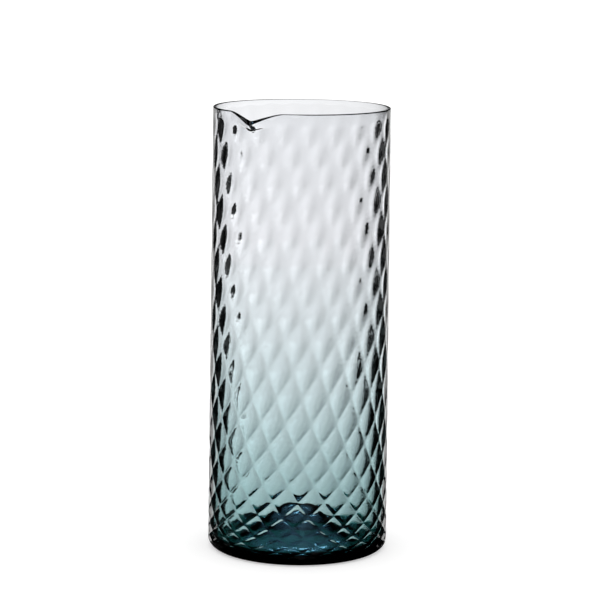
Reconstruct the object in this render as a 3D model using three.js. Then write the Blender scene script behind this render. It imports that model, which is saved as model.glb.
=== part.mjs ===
// A hand-blown water carafe: a tall clear glass body with a twisted diamond optic and a
// pinched pouring lip, cased over an inner gather of blue glass that is thick in the foot
// and thins out up the wall. Millimetres, +Z up, the origin on the table under the axis,
// the pouring lip towards -Y.
import * as THREE from 'three';

// Overall form
const HEIGHT = 250; // table to rim
const RIM_RADIUS = 49.4; // outside, over the ridges of the optic
const FOOT_RADIUS = 50.8; // the same at the table, because the wall tapers a little
const RIM_FLARE = 0.3; // how far the edge opens beyond the tapered wall
const FLARE_LENGTH = 14;

// Thicknesses of the glass
const WALL = 2.8; // ridge of the optic to the cavity
const RIM_THICKNESS = 1.8; // fire-polished edge
const CASING = 1.6; // clear glass outside the blue, round the foot
const FLOOR = 8.5; // from the top of the hollow under the foot to the cavity
const FLOOR_EDGE = 5; // from the table to the groove round the cavity's floor

// Blue gather
const CLEAR_LENGTH = 78; // from the rim down to where the blue has thinned out
const GATHER_EDGE = 0.4; // thickness of the blue there

// Foot
const HEEL_RADIUS = 5.5;
const STANDING_RING = 6; // width of the flat ring that the carafe stands on
const PUNT_HEIGHT = 15; // depth of the hollow pushed up under the foot
const CAVITY_CORNER = 4.5; // rounding between the cavity's floor and its wall

// Diamond optic: two families of ridges that cross, and hollows between them
const CELLS_AROUND = 22;
const RELIEF = 0.9; // depth of a hollow below the ridges
const ROW_PITCH = 15.5; // half the height of a diamond, far up the wall
const ROW_GROWTH = 48; // height over which the rows stretch to that pitch
const ROW_LEAD = 2.3; // the rows stretch as if they began this far below the table
const TWIST = THREE.MathUtils.degToRad(0.184); // turn of the ridges for each millimetre of height
const OPTIC_TURN = THREE.MathUtils.degToRad(-2.4); // turn of the whole optic against the lip
const RIDGE_SOFTNESS = 0.25; // 0 is a sharp ridge
const OPTIC_FADE = 6; // height over which the relief comes in above the heel and goes out at the rim
const OPTIC_TO_RIM = 1.3; // plain glass between the optic and the fire-polished edge

// Pouring lip
const LIP_WIDTH = 25.5; // along the rim
const LIP_LENGTH = 18; // down the wall
const LIP_REACH = 4; // outwards
const LIP_DROP = 6.2;
const LIP_POINT = 1.1; // 1 is a straight-sided V, more is a narrower tip

// Facets
const COLUMNS_PER_CELL = 4;
const RINGS_PER_ROW = 2;
const ARC_STEPS = 4;
const LIP_STEPS = 4;
const OUTSIDE_COLUMNS = CELLS_AROUND * COLUMNS_PER_CELL;
const INSIDE_COLUMNS = OUTSIDE_COLUMNS / 2;

const GATHER_TOP = HEIGHT - CLEAR_LENGTH;
const RIM_BEAD = RIM_THICKNESS / 2;
const OPTIC_END = HEIGHT - RIM_BEAD - OPTIC_TO_RIM;
const HEEL_CENTRE = wallRadius(HEEL_RADIUS) - HEEL_RADIUS;
const PUNT_RADIUS = HEEL_CENTRE - STANDING_RING;
const FOOT_ROW = rowAt(HEEL_RADIUS);

// Outside radius over the ridges at a height
function wallRadius(height) {
  const flared = Math.max(0, (height - HEIGHT) / FLARE_LENGTH + 1);
  return THREE.MathUtils.lerp(FOOT_RADIUS, RIM_RADIUS, height / HEIGHT) + RIM_FLARE * flared ** 2;
}

// The wall keeps its thickness up to the end of the blue, then thins towards the rim
function cavityRadius(height) {
  const above = Math.max(0, (height - GATHER_TOP) / CLEAR_LENGTH);
  return wallRadius(height) - THREE.MathUtils.lerp(WALL, RIM_THICKNESS, above);
}

// Number of the row at a height, and the height of a row: low rows are squat, high ones tall
function rowAt(height) {
  const stretched = Math.log(Math.expm1((height + ROW_LEAD) / ROW_GROWTH));
  return ((stretched - Math.log(Math.expm1(ROW_LEAD / ROW_GROWTH))) * ROW_GROWTH) / ROW_PITCH;
}

function rowHeight(row) {
  const stretched = Math.expm1(ROW_LEAD / ROW_GROWTH) * Math.exp((row * ROW_PITCH) / ROW_GROWTH);
  return ROW_GROWTH * Math.log1p(stretched) - ROW_LEAD;
}

// Share of the full relief at a height
function reliefShare(height) {
  const comesIn = THREE.MathUtils.smoothstep(height, HEEL_RADIUS, HEEL_RADIUS + OPTIC_FADE);
  return comesIn * (1 - THREE.MathUtils.smoothstep(height, OPTIC_END - OPTIC_FADE, OPTIC_END));
}

// Depth of the optic, 0 on the ridges and 1 in the middle of a diamond
function opticDepth(row, angle) {
  const slope = (Math.cos(Math.PI * row) + Math.cos(CELLS_AROUND * angle)) / 2;
  const soft = Math.hypot(slope, RIDGE_SOFTNESS) - RIDGE_SOFTNESS;
  return soft / (Math.hypot(1, RIDGE_SOFTNESS) - RIDGE_SOFTNESS);
}

// A ring of the surface: its radius, its height, the number of points on it and, outside,
// the row of the optic that it lies on
function ring(radius, height, columns, row = null) {
  return { radius, height, columns, row };
}

function ringsAlong(curve, columns, row = null) {
  return curve.getPoints(ARC_STEPS).map((point) => ring(point.x, point.y, columns, row));
}

// Part of a circle in the half plane of the profile
function round(centreRadius, centreHeight, radius, from, to) {
  return new THREE.Path().absarc(centreRadius, centreHeight, radius, from, to, false).curves[0];
}

function quarterRound(centreRadius, centreHeight, radius) {
  return round(centreRadius, centreHeight, radius, -Math.PI / 2, 0);
}

// Dome over the axis that runs out level at its edge
function dome(topHeight, edgeRadius, edgeHeight) {
  const shoulder = edgeRadius / 2;
  return new THREE.CubicBezierCurve(
    new THREE.Vector2(0, topHeight),
    new THREE.Vector2(shoulder, topHeight),
    new THREE.Vector2(shoulder, edgeHeight),
    new THREE.Vector2(edgeRadius, edgeHeight),
  );
}

// Outside: the hollow under the foot, the flat ring it stands on and the heel
function footRings() {
  const heel = quarterRound(HEEL_CENTRE, HEEL_RADIUS, HEEL_RADIUS);
  const hollow = ringsAlong(dome(PUNT_HEIGHT, PUNT_RADIUS, 0), INSIDE_COLUMNS, FOOT_ROW);
  return [...hollow, ...ringsAlong(heel, OUTSIDE_COLUMNS, FOOT_ROW)];
}

// Outside: one ring through every crossing of the ridges and one between each two
function opticRings() {
  const firstStep = Math.floor(FOOT_ROW * RINGS_PER_ROW) + 1;
  const lastStep = Math.floor(rowAt(OPTIC_END) * RINGS_PER_ROW);
  const rings = [];
  for (let step = firstStep; step <= lastStep; step += 1) {
    const row = step / RINGS_PER_ROW;
    const height = rowHeight(row);
    rings.push(ring(wallRadius(height), height, OUTSIDE_COLUMNS, row));
  }
  return rings;
}

// Half-round fire-polished edge, from outside to inside
function rimRings() {
  const edge = round(wallRadius(HEIGHT) - RIM_BEAD, HEIGHT - RIM_BEAD, RIM_BEAD, 0, Math.PI);
  return ringsAlong(edge, OUTSIDE_COLUMNS);
}

// Inside, clear part: down from the rim, past the lip, to the end of the blue
function upperCavityRings() {
  const rings = [];
  for (let step = 1; step <= LIP_STEPS; step += 1) {
    const height = HEIGHT - RIM_BEAD - (LIP_LENGTH * step) / LIP_STEPS;
    rings.push(ring(cavityRadius(height), height, INSIDE_COLUMNS));
  }
  return [...rings, ring(cavityRadius(GATHER_TOP), GATHER_TOP, INSIDE_COLUMNS)];
}

// Where the clear casing meets the blue, from the axis out and up to the end of the blue
function seamRings() {
  const floor = dome(PUNT_HEIGHT + CASING, PUNT_RADIUS, CASING);
  const heel = quarterRound(HEEL_CENTRE, HEEL_RADIUS, HEEL_RADIUS - CASING);
  const edge = ring(cavityRadius(GATHER_TOP) + GATHER_EDGE, GATHER_TOP, INSIDE_COLUMNS);
  return [...ringsAlong(floor, INSIDE_COLUMNS), ...ringsAlong(heel, INSIDE_COLUMNS), edge];
}

// Inside, blue part: from the axis over the domed floor and up to the end of the blue
function lowerCavityRings() {
  const cornerHeight = FLOOR_EDGE + CAVITY_CORNER;
  const floorRadius = cavityRadius(cornerHeight) - CAVITY_CORNER;
  const floor = ringsAlong(dome(PUNT_HEIGHT + FLOOR, floorRadius, FLOOR_EDGE), INSIDE_COLUMNS);
  const corner = ringsAlong(quarterRound(floorRadius, cornerHeight, CAVITY_CORNER), INSIDE_COLUMNS);
  const edge = ring(cavityRadius(GATHER_TOP), GATHER_TOP, INSIDE_COLUMNS);
  return [...floor, ...corner.slice(1), edge];
}

// Point of a ring at an angle from the lip, with the relief of its row and the twist of its height
function opticPoint(station, angle) {
  const { radius, height, row } = station;
  if (row === null) {
    return new THREE.Vector3(radius * Math.sin(angle), -radius * Math.cos(angle), height);
  }
  const turned = angle + OPTIC_TURN + TWIST * (height - OPTIC_END);
  const pressed = radius - RELIEF * reliefShare(height) * opticDepth(row, angle);
  return new THREE.Vector3(pressed * Math.sin(turned), -pressed * Math.cos(turned), height);
}

// Draws a point near the top of the -Y side outwards and down into the pouring lip
function drawLip(point) {
  const fromLip = Math.abs(Math.atan2(point.x, -point.y));
  const across = Math.max(0, 1 - (2 * RIM_RADIUS * fromLip) / LIP_WIDTH) ** LIP_POINT;
  const up = Math.max(0, (point.z - HEIGHT) / LIP_LENGTH + 1) ** 2;
  const outwards = new THREE.Vector3(point.x, point.y, 0).normalize();
  point.addScaledVector(outwards, LIP_REACH * across * up);
  point.z -= LIP_DROP * across * up;
  return point;
}

// Facets that join two rings all the way round, where a ring on the axis is one point. On
// rings with as many points the diagonals alternate, so that they follow the ridges.
function joinRings(lower, upper) {
  const facets = [];
  const lowerSpans = lower.radius > 0 ? lower.columns : 0;
  const upperSpans = upper.radius > 0 ? upper.columns : 0;
  const step = Math.round((lower.row ?? 0) * RINGS_PER_ROW);
  let low = 0;
  let high = 0;
  while (low < lowerSpans || high < upperSpans) {
    const here = lower.first + (low % lower.columns);
    const over = upper.first + (high % upper.columns);
    const lowNext = (low + 1) / lowerSpans;
    const highNext = (high + 1) / upperSpans;
    const leansLeft = (step + low) % 2 === 0;
    if (lowNext < highNext || (lowNext === highNext && leansLeft)) {
      low += 1;
      facets.push(here, lower.first + (low % lower.columns), over);
    } else {
      high += 1;
      facets.push(here, upper.first + (high % upper.columns), over);
    }
  }
  return facets;
}

// Closed surface through the rings, from axis to axis
function surfaceThrough(stations) {
  const positions = [];
  const rings = stations.map((station) => {
    const columns = station.radius > 0 ? station.columns : 1;
    const placed = { ...station, columns, first: positions.length / 3 };
    for (let column = 0; column < columns; column += 1) {
      const point = drawLip(opticPoint(station, (2 * Math.PI * column) / columns));
      positions.push(point.x, point.y, point.z);
    }
    return placed;
  });
  const facets = rings.slice(1).map((upper, index) => joinRings(rings[index], upper));
  const geometry = new THREE.BufferGeometry();
  geometry.setAttribute('position', new THREE.Float32BufferAttribute(positions, 3));
  geometry.setIndex(facets.flat());
  geometry.computeVertexNormals();
  return geometry;
}

function glassPiece(name, stations, color, opacity) {
  const finish = { color, opacity, transparent: true, roughness: 0.03, metalness: 0 };
  const mesh = new THREE.Mesh(surfaceThrough(stations), new THREE.MeshStandardMaterial(finish));
  mesh.name = name;
  return mesh;
}

function clearGlassBody() {
  const outside = [...footRings(), ...opticRings(), ...rimRings()];
  const inside = [...upperCavityRings(), ...seamRings().reverse()];
  return glassPiece('clear_glass_body', [...outside, ...inside], '#dfe3e7', 0.25);
}

function blueGlassGather() {
  const stations = [...seamRings(), ...lowerCavityRings().reverse()];
  return glassPiece('blue_glass_gather', stations, '#2f5560', 0.7);
}

const carafe = new THREE.Group();
carafe.name = 'carafe';
carafe.add(clearGlassBody(), blueGlassGather());

export default carafe;
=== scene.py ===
"""Hand-blown glass carafe: its two glasses, the studio round it and the camera.

The carafe is one fused piece. A clear body carries the twisted diamond optic, the rim and the
pinched pouring lip, and a gather of blue glass lies inside its wall, thick in the foot and thinner
up the wall. Metres, +Z up, the origin on the table under the axis, the lip towards -Y.
"""

from __future__ import annotations

import logging
import math
from dataclasses import dataclass, field
from enum import Enum
from typing import Any

import bpy
import numpy as np
from mathutils import Matrix, Vector

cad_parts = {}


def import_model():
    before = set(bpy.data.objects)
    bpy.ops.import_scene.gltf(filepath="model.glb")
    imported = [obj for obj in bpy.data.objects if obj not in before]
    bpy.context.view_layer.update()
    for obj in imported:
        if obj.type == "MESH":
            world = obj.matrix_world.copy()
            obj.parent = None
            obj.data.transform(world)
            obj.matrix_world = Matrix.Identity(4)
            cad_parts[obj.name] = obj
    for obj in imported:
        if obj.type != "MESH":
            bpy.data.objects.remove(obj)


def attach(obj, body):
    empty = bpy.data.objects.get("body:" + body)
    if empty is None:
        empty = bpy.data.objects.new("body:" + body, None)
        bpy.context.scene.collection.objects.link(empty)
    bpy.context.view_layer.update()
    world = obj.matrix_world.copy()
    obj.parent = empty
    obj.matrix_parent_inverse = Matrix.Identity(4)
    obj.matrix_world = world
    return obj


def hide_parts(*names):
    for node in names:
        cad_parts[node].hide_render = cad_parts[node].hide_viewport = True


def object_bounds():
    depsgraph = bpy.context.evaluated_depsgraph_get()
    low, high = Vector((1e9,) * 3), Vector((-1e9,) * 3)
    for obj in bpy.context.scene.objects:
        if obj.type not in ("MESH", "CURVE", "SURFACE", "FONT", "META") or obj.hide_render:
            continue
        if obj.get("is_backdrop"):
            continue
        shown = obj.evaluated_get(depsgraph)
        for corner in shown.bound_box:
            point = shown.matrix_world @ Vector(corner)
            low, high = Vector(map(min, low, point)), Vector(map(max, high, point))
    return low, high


LOG = logging.getLogger("carafe")
BODY = "root"
FULL_TURN = 2.0 * math.pi
WHITE = (1.0, 1.0, 1.0, 1.0)

# Direction in which the photograph looks at the carafe, in degrees round the axis from +X.
VIEW_TURN = 122.0

# A ray's bounces are counted in whole numbers, so a half lies between one count and the next.
ONCE_OR_MORE = 0.5
TWICE_OR_MORE = 1.5


class Piece(Enum):
    """The two pieces of glass: each value is the name of the CAD node that the piece stands for."""

    CLEAR = "clear_glass_body"
    BLUE = "blue_glass_gather"


class Slot(Enum):
    """Material slots of the record."""

    CLEAR = "clear_glass"
    BLUE = "blue_glass"


def smooth_step(values: np.ndarray, low: float, high: float) -> np.ndarray:
    """Rise smoothly from 0 to 1.

    Args:
        values: Where to evaluate the step.
        low: Value below which the step is 0.
        high: Value above which the step is 1.

    Returns:
        The step at each value.
    """
    share = np.clip((values - low) / (high - low), 0.0, 1.0)
    return share * share * (3.0 - 2.0 * share)


@dataclass(frozen=True)
class WallProfile:
    """Section of the carafe: radii at a height, and the curves of the foot and the rim.

    Attributes:
        height: Height of the rim.
        rim_radius: Outside radius at the rim, without its flare.
        foot_radius: Outside radius at the table, without the round of the heel.
        rim_flare: Most that the rim flares out.
        flare_length: Height over which it flares.
        wall: Thickness of the wall below its clear part.
        rim_thickness: Thickness of the wall at the rim.
        clear_length: Height under the rim over which the wall thins.
        floor: Thickness of the floor on the axis.
        floor_edge: Height of the floor's edge above the table.
        heel: Radius of the round between the foot and the wall.
        standing_ring: Width of the flat ring that the carafe stands on.
        punt_height: Height of the hollow under the foot.
        cavity_corner: Radius of the inside corner between the floor and the wall.
    """

    height: float
    rim_radius: float = 0.0494
    foot_radius: float = 0.0508
    rim_flare: float = 0.0003
    flare_length: float = 0.014
    wall: float = 0.0028
    rim_thickness: float = 0.0018
    clear_length: float = 0.078
    floor: float = 0.0085
    floor_edge: float = 0.005
    heel: float = 0.0055
    standing_ring: float = 0.006
    punt_height: float = 0.015
    cavity_corner: float = 0.0045

    @property
    def rim_bead(self) -> float:
        """Radius of the fire-polished edge."""
        return self.rim_thickness / 2.0

    @property
    def heel_centre(self) -> float:
        """Radius at which the round of the heel has its centre."""
        return float(self.outside(np.array(self.heel))) - self.heel

    @property
    def punt_radius(self) -> float:
        """Radius of the hollow under the foot."""
        return self.heel_centre - self.standing_ring

    def outside(self, height: np.ndarray) -> np.ndarray:
        """Give the outside radius over the ridges.

        Args:
            height: Heights above the table.

        Returns:
            The radius at each height.
        """
        share = height / self.height
        flared = np.maximum(0.0, (height - self.height) / self.flare_length + 1.0)
        below = np.clip(self.heel - height, 0.0, self.heel)
        rounded = self.heel - np.sqrt(self.heel**2 - below**2)
        tapered = self.foot_radius + (self.rim_radius - self.foot_radius) * share
        return tapered + self.rim_flare * flared**2 - rounded

    def cavity(self, height: np.ndarray) -> np.ndarray:
        """Give the inside radius.

        Args:
            height: Heights above the table.

        Returns:
            The radius at each height.
        """
        above = np.maximum(0.0, (height - self.height) / self.clear_length + 1.0)
        return self.outside(height) - (self.wall + (self.rim_thickness - self.wall) * above)

    @staticmethod
    def quarter_round(
        centre: tuple[float, float], radius: float, steps: int, share: float = 1.0
    ) -> np.ndarray:
        """Run a quarter circle from straight below its centre out to its side.

        Args:
            centre: Radius and height of the centre.
            radius: Radius of the round.
            steps: Number of spans.
            share: Share of the quarter circle to run.

        Returns:
            Radius and height of each point.
        """
        turn = np.linspace(-math.pi / 2.0, (share - 1.0) * math.pi / 2.0, steps + 1)
        return np.column_stack((centre[0] + radius * np.cos(turn), centre[1] + radius * np.sin(turn)))

    @staticmethod
    def dome(top: float, edge_radius: float, edge_height: float, steps: int) -> np.ndarray:
        """Run from the axis out over a dome that ends level.

        Args:
            top: Height on the axis.
            edge_radius: Radius of the dome's edge.
            edge_height: Height of the edge.
            steps: Number of spans.

        Returns:
            Radius and height of each point.
        """
        share = np.linspace(0.0, 1.0, steps + 1)
        middle = 3.0 * share * (1.0 - share)
        radius = edge_radius * (middle / 2.0 + share**3)
        fall = middle * share + share**3
        return np.column_stack((radius, top + (edge_height - top) * fall))

    def rim(self, steps: int) -> np.ndarray:
        """Run over the fire-polished edge from outside to inside.

        Args:
            steps: Number of spans.

        Returns:
            Radius and height of each point.
        """
        bead = self.rim_bead
        centre = float(self.outside(np.array(self.height))) - bead
        turn = np.linspace(0.0, math.pi, steps + 1)
        return np.column_stack((centre + bead * np.cos(turn), self.height - bead + bead * np.sin(turn)))

    def cavity_floor(self, steps: int) -> np.ndarray:
        """Run from the axis over the domed floor and round the corner up to the wall.

        Args:
            steps: Number of spans of the dome, and of the corner.

        Returns:
            Radius and height of each point.
        """
        corner_height = self.floor_edge + self.cavity_corner
        floor_radius = float(self.cavity(np.array(corner_height))) - self.cavity_corner
        dome = self.dome(self.punt_height + self.floor, floor_radius, self.floor_edge, steps)
        corner = self.quarter_round((floor_radius, corner_height), self.cavity_corner, steps)
        return np.vstack((dome, corner[1:]))


@dataclass(frozen=True)
class DiamondOptic:
    """Two families of ridges that wind round the wall and cross, with hollows between them.

    Attributes:
        cells: Number of diamonds round the wall.
        row_pitch: Height from one row of crossings to the next where the rows are tallest.
        row_growth: Height over which the rows stretch from squat to tall.
        row_lead: Depth under the table where the rows would shrink to nothing.
        twist: Angle that the pattern turns for each metre of height.
        hollow_foot: Depth of the soft hollows at the table.
        hollow_rim: Depth of the soft hollows higher up.
        hollow_full: Height where they reach that depth.
        hollow_power: Shape of the hollows, flatter in the middle below 1.
        ridge_depth: Depth of the ground beside the narrow ridges.
        ridge_width: Width of a narrow ridge as a share of a diamond.
        ridge_full: Height up to which the narrow ridges are whole.
        ridge_gone: Height where they have melted away.
        crowding: Share by which points close up beside a narrow ridge.
        fade: Height over which the relief comes in, and goes out.
        aside: Angle of the pattern from the lip where it ends under the rim.
        lean: Most that a leaning row rises and falls.
        lean_turn: Angle from the lip where a leaning row crosses its level.
        lean_heights: Heights where the lean begins, is whole and starts to go.
        deep_turn: Angle from the lip to the side that is pressed deepest.
        deep_spread: Cosines of the angle from that side over which the relief becomes whole.
        far_share: Share of the relief on the other side.
        patch_turn: Angle from the lip to the deepest patch.
        patch_height: Height of the patch.
        patch_radius: Radius of the patch.
        patch_gain: Share of the relief that the patch adds.
    """

    cells: int = 22
    row_pitch: float = 0.0155
    row_growth: float = 0.048
    row_lead: float = 0.0023
    twist: float = math.radians(184.0)
    hollow_foot: float = 0.00012
    hollow_rim: float = 0.00092
    hollow_full: float = 0.13
    hollow_power: float = 0.85
    ridge_depth: float = 0.00055
    ridge_width: float = 0.2
    ridge_full: float = 0.06
    ridge_gone: float = 0.15
    crowding: float = 0.7
    fade: float = 0.006
    aside: float = math.radians(-2.4)
    lean: float = 0.006
    lean_turn: float = math.radians(-22.0)
    lean_heights: tuple[float, float, float] = (0.07, 0.13, 0.2)
    deep_turn: float = math.radians(32.0)
    deep_spread: tuple[float, float] = (-0.3, 0.6)
    far_share: float = 0.2
    patch_turn: float = math.radians(64.0)
    patch_height: float = 0.108
    patch_radius: float = 0.016
    patch_gain: float = 0.5

    def row_at(self, height: np.ndarray) -> np.ndarray:
        """Number the rows of crossings from the table up.

        Args:
            height: Heights above the table.

        Returns:
            The row, with its fraction, at each height.
        """
        stretched = np.log(np.expm1((height + self.row_lead) / self.row_growth))
        start = math.log(math.expm1(self.row_lead / self.row_growth))
        return (stretched - start) * self.row_growth / self.row_pitch

    def height_of(self, row: np.ndarray) -> np.ndarray:
        """Find the height of a row, the reverse of row_at.

        Args:
            row: Numbers of rows.

        Returns:
            The height of each row.
        """
        lead = math.expm1(self.row_lead / self.row_growth)
        stretched = lead * np.exp(row * self.row_pitch / self.row_growth)
        return self.row_growth * np.log1p(stretched) - self.row_lead

    def share(self, height: np.ndarray, start: float, end: float) -> np.ndarray:
        """Let the relief come in above the heel and go out under the rim.

        Args:
            height: Heights above the table.
            start: Height where the relief begins.
            end: Height where it has gone out again.

        Returns:
            The share of the full relief at each height.
        """
        coming = smooth_step(height, start, start + self.fade)
        going = smooth_step(height, end - self.fade, end)
        return coming * (1.0 - going)

    def narrow(self, height: np.ndarray) -> np.ndarray:
        """Give the share of the narrow ridges, which the blowing has melted away towards the rim.

        Args:
            height: Heights above the table.

        Returns:
            1 near the foot, 0 near the rim.
        """
        return 1.0 - smooth_step(height, self.ridge_full, self.ridge_gone)

    def leaned(self, turn: np.ndarray, height: np.ndarray, end: float) -> np.ndarray:
        """Lift the rows on one side and drop them on the other, as on a gather that was held askew.

        Args:
            turn: Angles from the lip.
            height: Heights of level rows.
            end: Height where the optic ends.

        Returns:
            The heights of the leaning rows.
        """
        begin, full, fade = self.lean_heights
        share = smooth_step(height, begin, full) * (1.0 - smooth_step(height, fade, end))
        return height + self.lean * share * np.sin(turn - self.lean_turn)

    def pressed(self, turn: np.ndarray, height: np.ndarray, radius: float) -> np.ndarray:
        """Give the share of the relief round the wall: deeper on one side, and most in one patch there.

        Args:
            turn: Angles from the lip.
            height: Heights above the table.
            radius: Radius of the wall.

        Returns:
            1 on the deeper side, far_share on the other and more than 1 in the patch.
        """
        facing = smooth_step(np.cos(turn - self.deep_turn), *self.deep_spread)
        aside = radius * np.sin(turn - self.patch_turn)
        away = (aside**2 + (height - self.patch_height) ** 2) / self.patch_radius**2
        patch = np.where(np.cos(turn - self.patch_turn) > 0.0, self.patch_gain * np.exp(-away), 0.0)
        return self.far_share + (1.0 - self.far_share) * facing + patch

    def lattice(
        self, start: float, end: float, steps: int, radius: float
    ) -> tuple[np.ndarray, np.ndarray, np.ndarray]:
        """Lay rings of points along both families of ridges, closer together beside a ridge.

        Args:
            start: Lowest height.
            end: Highest height.
            steps: Number of points from one ridge to the next.
            radius: Radius of the wall.

        Returns:
            Angle from the lip, height and depth of the relief, each with one row per ring.
        """
        rows = self.row_at(np.array([start, end])) * steps
        ring = np.arange(math.ceil(rows[0]) + 1, math.floor(rows[1]))[:, None]
        step = 2 * np.arange(self.cells * steps)[None, :] + ring % 2
        level = self.height_of(ring / steps)
        crowd = self.crowding * self.narrow(level) * self.share(level, start, end) / FULL_TURN
        rising = (ring + step) / (2.0 * steps)
        falling = (ring - step) / (2.0 * steps)
        rising = rising - crowd * np.sin(FULL_TURN * rising)
        falling = falling - crowd * np.sin(FULL_TURN * falling)
        row = rising + falling
        height = self.height_of(row)
        hollow = (np.sin(math.pi * rising) * np.sin(math.pi * falling)) ** 2
        narrow = 1.0 - np.exp(-hollow / self.ridge_width**2)
        deeper = smooth_step(height, 0.0, self.hollow_full)
        soft = self.hollow_foot + (self.hollow_rim - self.hollow_foot) * deeper
        depth = soft * hollow**self.hollow_power + self.ridge_depth * self.narrow(height) * narrow
        turn = ((rising - falling) / 2.0 - 0.5) * FULL_TURN / self.cells
        turn = turn + self.twist * (height - end) + self.aside
        depth = depth * self.share(height, start, end) * self.pressed(turn, height, radius)
        return turn, self.leaned(turn, height, end), depth


@dataclass(frozen=True)
class PouringLip:
    """Place where the rim is drawn out and down into a pointed lip.

    Attributes:
        width: Width of the drawn part of the rim.
        length: Height over which the wall follows the lip.
        reach: Distance that the tip reaches out.
        drop: Distance that the tip drops.
        point: Power that makes the lip pointed.
        tip_round: Length over which the tip is rounded.
        inner_drop: Share of the drop on the inside of the rim.
        swell: Share by which the rim is thicker at the tip.
        swell_length: Height over which the rim takes on its uneven thickness.
        thinning: Share by which the rim is thinner on the side away from thick_turn.
        thick_turn: Angle from the lip to the side where the rim keeps its thickness.
    """

    width: float = 0.033
    length: float = 0.018
    reach: float = 0.004
    drop: float = 0.0062
    point: float = 1.5
    tip_round: float = 0.0008
    inner_drop: float = 0.5
    swell: float = 0.5
    swell_length: float = 0.009
    thinning: float = 0.5
    thick_turn: float = math.radians(32.0)

    def draw(self, points: np.ndarray, height: float, radius: float, thickness: float) -> np.ndarray:
        """Draw the points near the lip outwards and down.

        Args:
            points: Points of the wall, the last axis being x, y and z.
            height: Height of the rim.
            radius: Radius of the rim.
            thickness: Thickness of the rim.

        Returns:
            The drawn points.
        """
        around = np.hypot(points[..., 0], points[..., 1])
        along = np.arctan2(points[..., 0], -points[..., 1]) * radius
        beside = np.hypot(along, self.tip_round) - self.tip_round
        across = np.maximum(0.0, 1.0 - beside / (self.width / 2.0)) ** self.point
        up = np.maximum(0.0, (points[..., 2] - height) / self.length + 1.0) ** 2
        far = (1.0 - np.cos(along / radius - self.thick_turn)) / 2.0
        swell = self.swell * across - self.thinning * far
        swell *= smooth_step(points[..., 2], height - self.swell_length, height - thickness / 2.0)
        beyond = around - (radius - thickness / 2.0)
        out = 1.0 + (self.reach * across * up + swell * beyond) / np.maximum(around, radius / 2.0)
        drawn = points * np.stack((out, out, np.ones_like(out)), axis=-1)
        drawn[..., 2] += swell * (points[..., 2] - height)
        outer = np.clip(1.0 + (around - radius) / thickness, 0.0, 1.0)
        drawn[..., 2] -= self.drop * across * up * (self.inner_drop + (1.0 - self.inner_drop) * outer)
        return drawn


@dataclass
class NodeKit:
    """Short calls that add nodes to one node tree and link them."""

    tree: bpy.types.NodeTree

    def add(self, kind: str, inputs: dict[str | int, Any] | None = None, **settings: Any) -> bpy.types.Node:
        """Add a node.

        Args:
            kind: Blender's name for the type of node.
            inputs: Value or socket for each input, by its name or number.
            **settings: Properties of the node.

        Returns:
            The new node.
        """
        node = self.tree.nodes.new(kind)
        for name, value in settings.items():
            setattr(node, name, value)
        for key, value in (inputs or {}).items():
            self.feed(node.inputs[key], value)
        return node

    def feed(self, socket: bpy.types.NodeSocket, value: Any) -> None:
        """Link a socket into an input, or set the input to a value.

        Args:
            socket: The input.
            value: A socket to link, or a plain value.
        """
        if isinstance(value, bpy.types.NodeSocket):
            self.tree.links.new(value, socket)
        else:
            socket.default_value = value

    def math(self, operation: str, *values: Any) -> bpy.types.NodeSocket:
        """Add a Math node.

        Args:
            operation: Blender's name for the operation.
            *values: Its operands, numbers or sockets.

        Returns:
            The result.
        """
        return self.add("ShaderNodeMath", dict(enumerate(values)), operation=operation).outputs[0]

    def dot(self, vector: Any, other: Any) -> bpy.types.NodeSocket:
        """Add a dot product.

        Args:
            vector: A vector socket.
            other: A vector socket or plain vector.

        Returns:
            The product.
        """
        product = self.add("ShaderNodeVectorMath", {0: vector, 1: other}, operation="DOT_PRODUCT")
        return product.outputs["Value"]

    def ramp(self, value: Any, start: float, end: float, low: float, high: float) -> bpy.types.NodeSocket:
        """Add a smooth Map Range node.

        Args:
            value: The value to map.
            start: Value that gives low.
            end: Value that gives high.
            low: Result at the start.
            high: Result at the end.

        Returns:
            The mapped value.
        """
        inputs = {"Value": value, 1: start, 2: end, 3: low, 4: high}
        return self.add("ShaderNodeMapRange", inputs, interpolation_type="SMOOTHSTEP").outputs[0]


@dataclass(frozen=True)
class HandBlownWaves:
    """Node group with the slow waves and faint unevenness of glass shaped by hand.

    Attributes:
        name: Name of the group.
        detail: Number of finer waves over the slow ones.
    """

    name: str = "hand_blown_waves"
    detail: float = 1.0

    def group(self) -> bpy.types.NodeTree:
        """Build the node group, or find it where it is already built.

        Returns:
            The group, with a height for a bump and a roughness.
        """
        found = bpy.data.node_groups.get(self.name)
        if found:
            return found
        tree = bpy.data.node_groups.new(self.name, "ShaderNodeTree")
        for name in ("Wave Scale", "Least Roughness", "Most Roughness"):
            tree.interface.new_socket(name, in_out="INPUT", socket_type="NodeSocketFloat")
        for name in ("Height", "Roughness"):
            tree.interface.new_socket(name, in_out="OUTPUT", socket_type="NodeSocketFloat")
        kit = NodeKit(tree)
        given = kit.add("NodeGroupInput").outputs
        place = kit.add("ShaderNodeTexCoord").outputs["Object"]
        inputs = {"Vector": place, "Scale": given["Wave Scale"], "Detail": self.detail}
        wave = kit.add("ShaderNodeTexNoise", inputs).outputs[0]
        span = kit.math("SUBTRACT", given["Most Roughness"], given["Least Roughness"])
        rough = kit.math("MULTIPLY_ADD", wave, span, given["Least Roughness"])
        kit.add("NodeGroupOutput", {"Height": wave, "Roughness": rough})
        return tree


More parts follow.
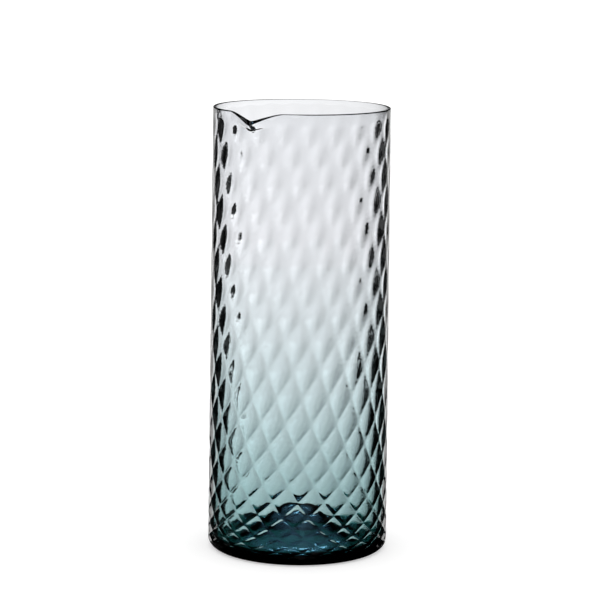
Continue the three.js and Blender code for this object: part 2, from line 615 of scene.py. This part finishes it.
@dataclass(frozen=True)
class ClearGlass:
    """Finish of the clear body: fire-polished glass with a faint cool cast.

    Attributes:
        name: Name of the material.
        tint: Colour that the surface gives to light going through.
        ior: Index of refraction.
        wave_scale: Number of waves of the surface in a metre.
        wave_depth: Depth of the waves.
        least_roughness: Roughness in the smoothest places.
        most_roughness: Roughness in the dullest places.
    """

    name: str = "clear_glass"
    tint: tuple[float, float, float, float] = (0.93, 0.94, 0.96, 1.0)
    ior: float = 1.5
    wave_scale: float = 60.0
    wave_depth: float = 0.00002
    least_roughness: float = 0.0
    most_roughness: float = 0.02

    def make(self) -> bpy.types.Material:
        """Build the material.

        Returns:
            The finished material.
        """
        material = bpy.data.materials.new(self.name)
        material.use_nodes = True
        kit = NodeKit(material.node_tree)
        shader = material.node_tree.nodes["Principled BSDF"]
        waves = kit.add("ShaderNodeGroup", node_tree=HandBlownWaves().group())
        kit.feed(waves.inputs["Wave Scale"], self.wave_scale)
        kit.feed(waves.inputs["Least Roughness"], self.least_roughness)
        kit.feed(waves.inputs["Most Roughness"], self.most_roughness)
        bump = kit.add("ShaderNodeBump", {"Height": waves.outputs["Height"], "Distance": self.wave_depth})
        kit.feed(shader.inputs["Base Color"], self.tint)
        kit.feed(shader.inputs["Roughness"], waves.outputs["Roughness"])
        kit.feed(shader.inputs["Transmission Weight"], 1.0)
        kit.feed(shader.inputs["IOR"], self.ior)
        kit.feed(shader.inputs["Normal"], bump.outputs["Normal"])
        return material


@dataclass(frozen=True)
class BlueGlass:
    """Finish of the blue gather: it only takes light away, because it is fused into the clear glass.

    Attributes:
        name: Name of the material.
        colour: Colour that the glass lets through.
        density: Rate at which it takes the other colours away, for each metre.
    """

    name: str = "blue_glass"
    colour: tuple[float, float, float, float] = (0.1, 0.465, 0.45, 1.0)
    density: float = 840.0

    def make(self) -> bpy.types.Material:
        """Build the material.

        Returns:
            The finished material.
        """
        material = bpy.data.materials.new(self.name)
        material.use_nodes = True
        nodes = material.node_tree.nodes
        nodes.remove(nodes["Principled BSDF"])
        kit = NodeKit(material.node_tree)
        inside = kit.add("ShaderNodeVolumeAbsorption", {"Color": self.colour, "Density": self.density})
        kit.feed(nodes["Material Output"].inputs["Volume"], inside.outputs[0])
        return material


def lattice_faces(lower: np.ndarray, columns: int, ahead: np.ndarray) -> np.ndarray:
    """Join staggered rings of points with triangles.

    Args:
        lower: Number of the first point of each lower ring, the upper ring following it.
        columns: Number of points in a ring.
        ahead: True where the upper ring lies half a step ahead of the lower one.

    Returns:
        The corners of each triangle.
    """
    here = np.arange(columns)
    beside = (here + 1) % columns
    low, low_next = lower[:, None] + here, lower[:, None] + beside
    high, high_next = low + columns, low_next + columns
    tip = np.where(ahead[:, None], high, high_next)
    heel = np.where(ahead[:, None], low_next, low)
    upright = np.stack((low, low_next, tip), axis=-1)
    hanging = np.stack((heel, high_next, high), axis=-1)
    return np.concatenate((upright, hanging)).reshape(-1, 3)


def ring_surface(name: str, rings: np.ndarray, lattice: range | None = None) -> bpy.types.Object:
    """Make a closed smooth mesh through rings of points.

    Args:
        name: Name of the new object.
        rings: Rings of points from axis to axis. The first and last ring lie on the axis.
        lattice: Numbers of the rings that are staggered, each half a step from the one before.

    Returns:
        The new object, linked to the scene.
    """
    count, columns = rings.shape[0] - 2, rings.shape[1]
    points = np.vstack((rings[0, :1], rings[1:-1].reshape(-1, 3), rings[-1, :1]))
    here = np.arange(columns)
    beside = (here + 1) % columns
    strips = np.arange(count - 1)
    staggered = np.isin(strips + 1, lattice[:-1]) if lattice else np.zeros(count - 1, dtype=bool)
    plain = 1 + columns * strips[~staggered][:, None]
    above = plain + columns
    quads = np.stack((plain + here, plain + beside, above + beside, above + here), axis=-1)
    faces = quads.reshape(-1, 4).tolist()
    woven = strips[staggered]
    if len(woven):
        faces += lattice_faces(1 + columns * woven, columns, (woven - woven[0]) % 2 == 0).tolist()
    last = 1 + columns * (count - 1)
    faces += np.column_stack((np.zeros(columns, dtype=int), 1 + beside, 1 + here)).tolist()
    faces += np.column_stack((last + here, last + beside, np.full(columns, len(points) - 1))).tolist()
    mesh = bpy.data.meshes.new(name)
    mesh.from_pydata(points.tolist(), [], faces)
    mesh.polygons.foreach_set("use_smooth", np.ones(len(mesh.polygons), dtype=bool))
    mesh.update()
    made = bpy.data.objects.new(name, mesh)
    bpy.context.scene.collection.objects.link(made)
    return made


def revolve(section: np.ndarray, angles: np.ndarray) -> np.ndarray:
    """Turn a section about the axis.

    Args:
        section: Radius and height of each point.
        angles: Angles from the lip.

    Returns:
        One ring of points for each point of the section.
    """
    radius = section[:, :1]
    level = np.broadcast_to(section[:, 1:], (len(section), len(angles)))
    return np.stack((radius * np.sin(angles), -radius * np.cos(angles), level), axis=-1)


@dataclass
class GlassBody:
    """The clear glass: the whole wall with its optic, rim, lip and foot.

    Attributes:
        profile: Section of the carafe.
        optic: Pattern of the wall.
        lip: Pouring lip.
        finish: Material.
        steps_per_cell: Number of points from one ridge to the next.
        round_steps: Number of spans of each round in the section.
        cavity_step: Height between the rings of the plain inner wall.
        plain_edge: Height of the plain strip between the optic and the edge of the rim.
        plain_heel: Share of the heel's round that has no optic.
    """

    profile: WallProfile
    optic: DiamondOptic = field(default_factory=DiamondOptic)
    lip: PouringLip = field(default_factory=PouringLip)
    finish: ClearGlass = field(default_factory=ClearGlass)
    steps_per_cell: int = 11
    round_steps: int = 12
    cavity_step: float = 0.004
    plain_edge: float = 0.0013
    plain_heel: float = 0.25

    def build(self) -> bpy.types.Object:
        """Make the mesh.

        Returns:
            The new piece.
        """
        profile, optic = self.profile, self.optic
        top = profile.height - profile.rim_bead
        heel = profile.quarter_round(
            (profile.heel_centre, profile.heel), profile.heel, self.round_steps, self.plain_heel
        )
        end = top - self.plain_edge
        turn, height, depth = optic.lattice(heel[-1, 1], end, self.steps_per_cell, profile.rim_radius)
        radius = profile.outside(height) - depth
        wall = np.stack((radius * np.sin(turn), -radius * np.cos(turn), height), axis=-1)
        punt = profile.dome(profile.punt_height, profile.punt_radius, 0.0, self.round_steps)
        foot = revolve(np.vstack((punt, heel)), turn[0])
        floor = profile.cavity_floor(self.round_steps)
        steps = round((top - floor[-1, 1]) / self.cavity_step)
        level = np.linspace(top, floor[-1, 1], steps + 1)[1:-1]
        cavity = np.column_stack((profile.cavity(level), level))
        inside = revolve(np.vstack((profile.rim(self.round_steps), cavity, floor[::-1])), turn[-1])
        rings = np.concatenate((foot, wall, inside))
        rings = self.lip.draw(rings, profile.height, profile.rim_radius, profile.rim_thickness)
        return ring_surface("carafe_body", rings, range(len(foot), len(foot) + len(wall)))

    def dress(self, piece: bpy.types.Object) -> None:
        """Give the piece its finish and its place in the frame.

        Args:
            piece: The mesh from build.
        """
        piece.data.materials.append(self.finish.make())
        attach(piece, BODY)
        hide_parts(Piece.CLEAR.value)


@dataclass
class BlueGather:
    """The blue glass fused into the foot and the wall.

    Attributes:
        profile: Section of the carafe.
        finish: Material.
        wall_thickness: Thickness of the blue where the wall meets the table.
        fade_height: Height where the blue would run out to nothing.
        foot_casing: Thickness of the clear glass under the blue in the foot.
        skin: Thickness of the clear glass between the blue and the cavity.
        least_thickness: Thickness of the blue at its edge.
        columns: Number of points in a ring.
        wall_steps: Number of spans up the wall.
        round_steps: Number of spans of each round in the section.
    """

    profile: WallProfile
    finish: BlueGlass = field(default_factory=BlueGlass)
    wall_thickness: float = 0.00082
    fade_height: float = 0.206
    foot_casing: float = 0.0003
    skin: float = 0.00004
    least_thickness: float = 0.00003
    columns: int = 176
    wall_steps: int = 48
    round_steps: int = 12

    def thickness(self, height: np.ndarray) -> np.ndarray:
        """Give the thickness of the blue in the wall.

        Args:
            height: Heights above the table.

        Returns:
            The thickness at each height.
        """
        left = np.clip(1.0 - height / self.fade_height, 0.0, 1.0)
        return self.wall_thickness * left**2

    def heel_seam(self) -> np.ndarray:
        """Run round the heel, near its skin underneath and deeper in the glass towards the wall.

        Returns:
            Radius and height of each point.
        """
        profile = self.profile
        centre = np.array((profile.heel_centre, profile.heel))
        wall_casing = profile.wall - self.skin - float(self.thickness(np.array(profile.heel)))
        skin = profile.quarter_round((profile.heel_centre, profile.heel), profile.heel, self.round_steps)
        share = np.linspace(0.0, 1.0, self.round_steps + 1)
        casing = self.foot_casing + (wall_casing - self.foot_casing) * share**2
        return centre + (skin - centre) * (1.0 - casing / profile.heel)[:, None]

    def build(self) -> bpy.types.Object:
        """Make the mesh.

        Returns:
            The new piece.
        """
        profile = self.profile
        angles = np.arange(self.columns) * FULL_TURN / self.columns
        floor = profile.cavity_floor(self.round_steps)
        fade_end = self.fade_height * (1.0 - math.sqrt(self.least_thickness / self.wall_thickness))
        level = np.linspace(floor[-1, 1], fade_end, self.wall_steps + 1)
        inside = np.vstack((floor[:-1], np.column_stack((profile.cavity(level), level))))
        slope = np.gradient(inside, axis=0)
        outward = np.column_stack((slope[:, 1], -slope[:, 0]))
        inside = inside + self.skin * outward / np.linalg.norm(outward, axis=1)[:, None]
        inside[0, 0] = 0.0
        casing = self.foot_casing
        punt = profile.dome(profile.punt_height + casing, profile.punt_radius, casing, self.round_steps)
        heel = self.heel_seam()
        rise = np.concatenate(([(heel[-1, 1] + level[0]) / 2.0], level))
        seam = np.column_stack((profile.cavity(rise) + self.skin + self.thickness(rise), rise))
        section = np.vstack((punt, heel, seam, inside[::-1]))
        return ring_surface("blue_gather", revolve(section, angles))

    def dress(self, piece: bpy.types.Object) -> None:
        """Give the piece its finish and its place in the frame.

        Args:
            piece: The mesh from build.
        """
        piece.data.materials.append(self.finish.make())
        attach(piece, BODY)
        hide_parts(Piece.BLUE.value)


def direction(turn: float, rise: float) -> tuple[float, float, float]:
    """Give a direction from its angles.

    Args:
        turn: Angle round the axis from +X, in degrees.
        rise: Angle above the horizon, in degrees.

    Returns:
        The direction, with a length of 1.
    """
    around, up = math.radians(turn), math.radians(rise)
    return (math.cos(around) * math.cos(up), math.sin(around) * math.cos(up), math.sin(up))


@dataclass(frozen=True)
class PhotoCamera:
    """Camera at the viewing angle of the photograph.

    Attributes:
        turn: Direction of the view round the axis from +X, in degrees.
        distance: Level distance from the axis.
        height: Height above the table.
        pitch: Angle by which the camera looks down, in degrees.
        roll: Angle by which it is turned about its view, in degrees.
        aside: Distance that it stands to the right of the axis.
        lens: Focal length in millimetres.
    """

    turn: float = VIEW_TURN
    distance: float = 1.417
    height: float = 0.376
    pitch: float = 9.41
    roll: float = 0.67
    aside: float = 0.0001
    lens: float = 153.4

    def place(self) -> None:
        """Create the camera and make it the scene's own."""
        data = bpy.data.cameras.new("photo_camera")
        data.lens = self.lens
        camera = bpy.data.objects.new("photo_camera", data)
        bpy.context.scene.collection.objects.link(camera)
        forward = Vector(direction(self.turn, 0.0))
        right = Vector((forward.y, -forward.x, 0.0))
        place = right * self.aside - forward * self.distance + Vector((0.0, 0.0, self.height))
        look = Vector(direction(self.turn, -self.pitch)).to_track_quat("-Z", "Y").to_matrix().to_4x4()
        rolled = Matrix.Rotation(math.radians(self.roll), 4, "Z")
        camera.matrix_world = Matrix.Translation(place) @ look @ rolled
        bpy.context.scene.camera = camera


@dataclass(frozen=True)
class LitPanel:
    """Lit panel of the studio as the glass sees it, brighter towards its upper left.

    Attributes:
        turn: Direction of its middle round the axis from +X, in degrees as the other angles are.
        half_width: Angle from its middle to each side.
        low: Angle of its lower edge above the horizon.
        high: Angle of its upper edge.
        soft: Angle over which its edges fade outwards.
        light: Light of its middle.
        lean_left: Light that it gains in a radian to the left.
        lean_up: Light that it gains in a radian upwards.
    """

    turn: float
    half_width: float = 12.0
    low: float = -24.0
    high: float = 8.0
    soft: float = 2.0
    light: float = 0.98
    lean_left: float = 1.0
    lean_up: float = 0.45

    def upright(self, kit: NodeKit, rise: Any) -> bpy.types.NodeSocket:
        """Work out the band between the lower and the upper edge.

        Args:
            kit: The world's nodes.
            rise: Sine of the direction's angle above the horizon.

        Returns:
            1 in the band, 0 away from it.
        """
        below = math.sin(math.radians(self.low - self.soft)), math.sin(math.radians(self.low))
        above = math.sin(math.radians(self.high + self.soft)), math.sin(math.radians(self.high))
        return kit.math("MULTIPLY", kit.ramp(rise, *below, 0.0, 1.0), kit.ramp(rise, *above, 0.0, 1.0))

    def shine(self, kit: NodeKit, level: Any, rise: Any) -> bpy.types.NodeSocket:
        """Work out the panel's light in a direction.

        Args:
            kit: The world's nodes.
            level: The direction laid level, with a length of 1.
            rise: Sine of the direction's angle above the horizon.

        Returns:
            The light of the panel, 0 away from it.
        """
        facing = kit.dot(level, direction(self.turn, 0.0))
        left = kit.dot(level, direction(self.turn + 90.0, 0.0))
        edge = math.cos(math.radians(self.half_width + self.soft)), math.cos(math.radians(self.half_width))
        across = kit.ramp(facing, *edge, 0.0, 1.0)
        middle = (math.sin(math.radians(self.low)) + math.sin(math.radians(self.high))) / 2.0
        even = kit.math("MULTIPLY_ADD", rise, self.lean_up, self.light - self.lean_up * middle)
        shade = kit.math("MULTIPLY_ADD", left, self.lean_left, even)
        return kit.math("MULTIPLY", kit.math("MULTIPLY", across, self.upright(kit, rise)), shade)


@dataclass(frozen=True)
class RoundLight:
    """Round light overhead as the glass sees it.

    Attributes:
        turn: Direction of its middle round the axis from +X, in degrees as the other angles are.
        rise: Angle of its middle above the horizon.
        full: Radius up to which its light is whole.
        end: Radius where its light ends.
        light: Light of its middle.
    """

    turn: float
    rise: float = 48.0
    full: float = 3.3
    end: float = 3.96
    light: float = 80.0

    def shine(self, kit: NodeKit, way: Any) -> bpy.types.NodeSocket:
        """Work out the light in a direction.

        Args:
            kit: The world's nodes.
            way: The direction.

        Returns:
            The light, 0 away from it.
        """
        facing = kit.dot(way, direction(self.turn, self.rise))
        edge = math.cos(math.radians(self.end)), math.cos(math.radians(self.full))
        return kit.ramp(facing, *edge, 0.0, self.light)


@dataclass(frozen=True)
class Studio:
    """White sweep that the glass sees as lit panels behind five viewing angles, with darkness between.

    From an angle that has no panel behind it, the glass shows the darkness.

    Attributes:
        backdrops: Panels that show through the glass.
        sheen: Panel that the outside of the glass mirrors, along the edges of the body.
        overhead: Lights that are mirrored inside the glass, on the dome of the foot.
        overhead_colour: Colour of those lights.
        darkness: Light between the panels.
        ghost: Share of the panels' light that is left once the glass has mirrored it.
        floor_reach: Distance from the axis to each side of the floor.
        floor_colour: Colour of the floor.
        floor_glow: Light that makes the floor white to the camera.
    """

    backdrops: tuple[LitPanel, ...] = (
        # Behind the photograph's view: the upper part of the body, then the lower part.
        LitPanel(turn=VIEW_TURN, half_width=14.0, low=-9.5, soft=1.5, light=1.07),
        LitPanel(
            turn=VIEW_TURN, half_width=18.0, high=-9.5, soft=1.5, light=0.96, lean_left=1.8, lean_up=0.9
        ),
        # Behind the raised view from 45 degrees.
        LitPanel(turn=135.0, low=-40.0, high=-16.0),
        # Behind the level view from 90 degrees, upper and lower part.
        LitPanel(turn=182.0, half_width=11.0, low=-4.5, high=6.0, soft=1.0),
        LitPanel(turn=185.0, half_width=9.5, low=-9.0, high=-4.5),
        # Behind the level view from 0 degrees, upper and lower part.
        LitPanel(turn=90.0, half_width=13.0, low=-4.5, high=6.0, soft=1.0),
        LitPanel(turn=84.0, half_width=9.0, low=-9.0, high=-4.5, light=0.8),
        # Behind the raised view from 225 degrees.
        LitPanel(turn=315.0, half_width=8.0, low=-26.0, high=0.0, soft=8.0),
    )
    sheen: LitPanel = LitPanel(
        turn=VIEW_TURN,
        half_width=34.0,
        low=-14.0,
        high=0.0,
        soft=4.0,
        light=0.9,
        lean_left=0.0,
        lean_up=0.0,
    )
    overhead: tuple[RoundLight, ...] = (
        RoundLight(turn=VIEW_TURN, rise=70.0, full=0.0, end=45.0, light=2.0),
        RoundLight(turn=114.0),
        RoundLight(turn=124.0),
    )
    overhead_colour: tuple[float, float, float, float] = (0.35, 0.68, 1.0, 1.0)
    darkness: float = 0.012
    ghost: float = 0.08
    floor_reach: float = 12.0
    floor_colour: tuple[float, float, float, float] = (0.8, 0.8, 0.8, 1.0)
    floor_glow: float = 0.42

    def sweep_light(self, kit: NodeKit, ray: Any, way: Any) -> bpy.types.NodeSocket:
        """Work out the sweep: white to the camera and the floor, panels and darkness to the glass.

        Args:
            kit: The world's nodes.
            ray: What the Light Path node puts out.
            way: The direction.

        Returns:
            The light in that direction.
        """
        rise = kit.add("ShaderNodeSeparateXYZ", {"Vector": way}).outputs["Z"]
        flat = kit.add("ShaderNodeVectorMath", {0: way, 1: (1.0, 1.0, 0.0)}, operation="MULTIPLY")
        level = kit.add("ShaderNodeVectorMath", {0: flat.outputs[0]}, operation="NORMALIZE").outputs[0]
        lit: Any = self.darkness
        for panel in self.backdrops:
            lit = kit.math("MAXIMUM", lit, panel.shine(kit, level, rise))
        mirrored = kit.math("GREATER_THAN", ray["Glossy Depth"], ONCE_OR_MORE)
        dimmed = kit.math("MULTIPLY_ADD", mirrored, self.ghost - 1.0, 1.0)
        through_glass = kit.math("MAXIMUM", ray["Is Glossy Ray"], ray["Is Transmission Ray"])
        straight = kit.math("SUBTRACT", 1.0, through_glass)
        light = kit.math("MAXIMUM", kit.math("MULTIPLY", lit, dimmed), straight)
        bounced = kit.math("GREATER_THAN", ray["Is Glossy Ray"], ray["Is Transmission Ray"])
        sheen = kit.math("MULTIPLY", bounced, self.sheen.shine(kit, level, rise))
        return kit.math("MAXIMUM", light, sheen)

    def overhead_light(self, kit: NodeKit, ray: Any, way: Any) -> bpy.types.NodeSocket:
        """Work out the lights overhead, which only reach what is mirrored inside the glass.

        Args:
            kit: The world's nodes.
            ray: What the Light Path node puts out.
            way: The direction.

        Returns:
            The light in that direction.
        """
        light: Any = 0.0
        for lamp in self.overhead:
            light = kit.math("ADD", light, lamp.shine(kit, way))
        bounces = kit.math("MULTIPLY", ray["Transmission Depth"], ray["Glossy Depth"])
        mirrored = kit.math("GREATER_THAN", bounces, TWICE_OR_MORE)
        clear_of_floor = kit.math("LESS_THAN", ray["Diffuse Depth"], ONCE_OR_MORE)
        return kit.math("MULTIPLY", light, kit.math("MULTIPLY", mirrored, clear_of_floor))

    def surround(self) -> None:
        """Build the world from the sweep and the lights overhead."""
        world = bpy.data.worlds.new("studio")
        world.use_nodes = True
        bpy.context.scene.world = world
        nodes = world.node_tree.nodes
        kit = NodeKit(world.node_tree)
        ray = kit.add("ShaderNodeLightPath").outputs
        way = kit.add("ShaderNodeTexCoord").outputs["Generated"]
        sweep = nodes["Background"]
        kit.feed(sweep.inputs["Color"], WHITE)
        kit.feed(sweep.inputs["Strength"], self.sweep_light(kit, ray, way))
        overhead = kit.add("ShaderNodeBackground", {"Color": self.overhead_colour})
        kit.feed(overhead.inputs["Strength"], self.overhead_light(kit, ray, way))
        both = kit.add("ShaderNodeAddShader", {0: sweep.outputs[0], 1: overhead.outputs[0]})
        kit.feed(nodes["World Output"].inputs["Surface"], both.outputs[0])

    def lay_floor(self) -> None:
        """Lay the white floor, which keeps the contact shadow."""
        mesh = bpy.data.meshes.new("floor")
        reach = self.floor_reach
        ends = [(-reach, -reach, 0.0), (reach, -reach, 0.0), (reach, reach, 0.0), (-reach, reach, 0.0)]
        mesh.from_pydata(ends, [], [(0, 1, 2, 3)])
        floor = bpy.data.objects.new("floor", mesh)
        bpy.context.scene.collection.objects.link(floor)
        material = bpy.data.materials.new("white_sweep")
        material.use_nodes = True
        nodes = material.node_tree.nodes
        nodes.remove(nodes["Principled BSDF"])
        kit = NodeKit(material.node_tree)
        ray = kit.add("ShaderNodeLightPath").outputs
        matt = kit.add("ShaderNodeBsdfDiffuse", {"Color": self.floor_colour})
        seen = kit.math("MULTIPLY", ray["Is Camera Ray"], self.floor_glow)
        glow = kit.add("ShaderNodeEmission", {"Strength": seen})
        both = kit.add("ShaderNodeAddShader", {0: matt.outputs[0], 1: glow.outputs[0]})
        kit.feed(nodes["Material Output"].inputs["Surface"], both.outputs[0])
        mesh.materials.append(material)
        floor.visible_transmission = False
        floor.visible_glossy = False
        floor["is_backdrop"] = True

    def build(self) -> None:
        """Build the whole studio."""
        bpy.context.scene.view_settings.view_transform = "Standard"
        self.surround()
        self.lay_floor()


def corners(box: tuple[Vector, Vector]) -> list[list[float]]:
    """Turn a box into plain lists of numbers.

    Args:
        box: Lowest and highest corner.

    Returns:
        The two corners as lists.
    """
    return [[float(value) for value in corner] for corner in box]


def main() -> None:
    """Build the carafe round its frame, then the studio and the camera."""
    logging.basicConfig(level=logging.INFO, format="%(name)s: %(message)s")
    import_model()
    cad_box = corners(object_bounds())
    profile = WallProfile(height=cad_box[1][2])
    for maker in (GlassBody(profile), BlueGather(profile)):
        piece = maker.build()
        maker.dress(piece)
        LOG.info("%s has %d faces", piece.name, len(piece.data.polygons))
    Studio().build()
    PhotoCamera().place()


if __name__ == "__main__":
    main()
